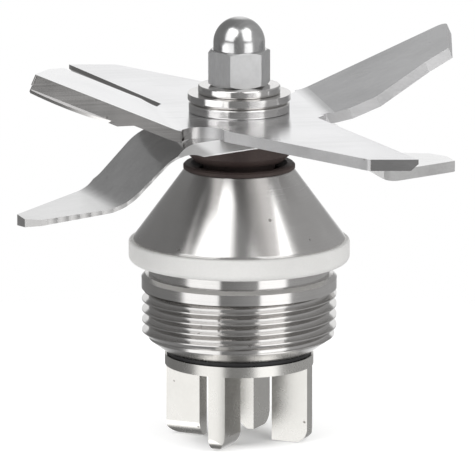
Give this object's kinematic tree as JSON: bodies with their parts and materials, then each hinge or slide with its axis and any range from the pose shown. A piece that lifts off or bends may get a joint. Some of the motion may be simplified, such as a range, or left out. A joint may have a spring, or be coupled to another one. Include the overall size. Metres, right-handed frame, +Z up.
{
  "type": "blender blade assembly",
  "caption": "Screw-in blade unit of a blender jar: bent steel blades under a cap nut, a threaded cone housing with a white gasket, and a lugged drive coupling below.",
  "frame": {"origin": "on the shaft axis, at the height where the coupling's lugs stand", "axes": "+Z up along the shaft towards the cap nut; -Y towards the viewer of the picture"},
  "size_m": [0.1032, 0.119, 0.1011],
  "materials": {
    "housing_steel": "turned satin stainless steel",
    "blade_steel": "fine ground stainless sheet",
    "washer_steel": "turned stainless steel",
    "nut_steel": "bright stainless steel",
    "coupling_steel": "cast stainless steel, blasted",
    "shaft_steel": "turned steel",
    "bearing_steel": "ground bearing steel",
    "cage_steel": "pressed sheet steel",
    "gasket_white": "matt white silicone",
    "seal_brown": "matt dark brown rubber",
    "rubber_black": "matt black rubber"
  },
  "bodies": {
    "housing": {"bearing_housing": "housing_steel", "jar_gasket": "gasket_white", "rim_seal": "seal_brown", "seal_case": "shaft_steel", "seal_lip": "rubber_black", "garter_spring": "shaft_steel", "upper_outer_race": "bearing_steel", "lower_outer_race": "bearing_steel", "upper_shields": "cage_steel", "lower_shields": "cage_steel", "outer_spacer": "shaft_steel", "housing_circlip": "shaft_steel", "bottom_ring": "rubber_black"},
    "rotor": {"drive_shaft": "shaft_steel", "v_ring": "seal_brown", "upper_inner_race": "bearing_steel", "lower_inner_race": "bearing_steel", "inner_spacer": "shaft_steel", "lower_blade": "blade_steel", "upper_blade": "blade_steel", "spacer_disc": "washer_steel", "clamp_washer": "washer_steel", "flat_washer": "washer_steel", "cap_nut": "nut_steel", "drive_coupling": "coupling_steel", "coupling_screw": "shaft_steel"},
    "upper_ball_set": {"upper_cage": "cage_steel", "upper_balls": "bearing_steel"},
    "lower_ball_set": {"lower_cage": "cage_steel", "lower_balls": "bearing_steel"}
  },
  "joints": [
    {"name": "blade_spin", "type": "hinge", "parent": "housing", "child": "rotor", "pos_m": [0, 0, 0.05], "axis": [0, 0, 1], "continuous": true},
    {"name": "upper_ball_spin", "type": "hinge", "parent": "housing", "child": "upper_ball_set", "pos_m": [0, 0, 0.051], "axis": [0, 0, 1], "continuous": true},
    {"name": "lower_ball_spin", "type": "hinge", "parent": "housing", "child": "lower_ball_set", "pos_m": [0, 0, 0.029], "axis": [0, 0, 1], "continuous": true}
  ],
  "couplings": [
    {"joint": "upper_ball_spin", "follows": "blade_spin", "ratio": 0.385},
    {"joint": "lower_ball_spin", "follows": "blade_spin", "ratio": 0.385}
  ]
}
